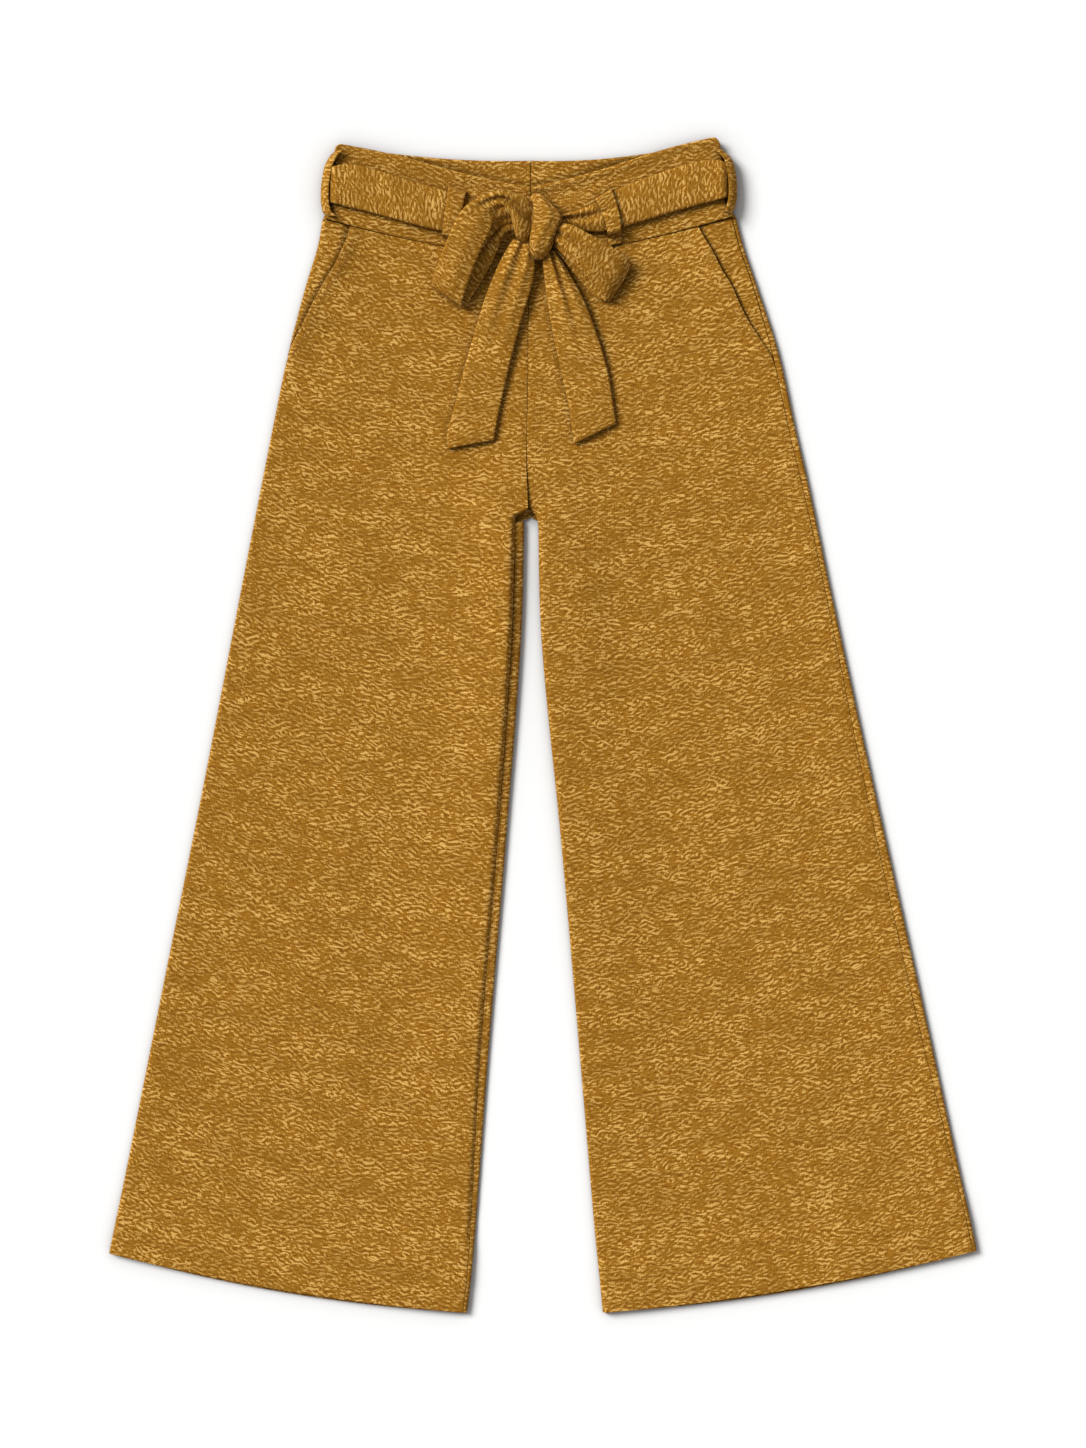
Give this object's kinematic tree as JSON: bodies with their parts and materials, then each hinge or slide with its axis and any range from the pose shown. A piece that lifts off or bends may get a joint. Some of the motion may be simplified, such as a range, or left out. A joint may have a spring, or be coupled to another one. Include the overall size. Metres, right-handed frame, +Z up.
{
  "type": "palazzo trousers",
  "caption": "Wide-legged, high-waisted knit trousers with slanted side pockets and a belt tied in a bow, lying flat with the front up.",
  "frame": {"origin": "on the floor, below the middle of the outline", "axes": "+Y up the garment towards the waist, +X to the picture's right (the wearer's left), +Z up from the floor towards the front"},
  "size_m": [0.7812, 1.0578, 0.0276],
  "materials": {
    "knit": "soft matt marled knit, mustard with lighter and darker flecks"
  },
  "bodies": {
    "root": {"front_panel_left": "knit", "front_panel_right": "knit", "back_panel_left": "knit", "back_panel_right": "knit", "pocket_side_left": "knit", "pocket_side_right": "knit", "waistband_front_left": "knit", "waistband_front_right": "knit", "waistband_back_left": "knit", "waistband_back_right": "knit", "belt_back": "knit", "belt_front_left": "knit", "belt_front_right": "knit", "bow_knot": "knit", "bow_loop_left": "knit", "bow_loop_right": "knit", "belt_tail_left": "knit", "belt_tail_right": "knit", "belt_loop_side_left": "knit", "belt_loop_front_left": "knit", "belt_loop_front_right": "knit", "belt_loop_side_right": "knit"}
  },
  "joints": []
}
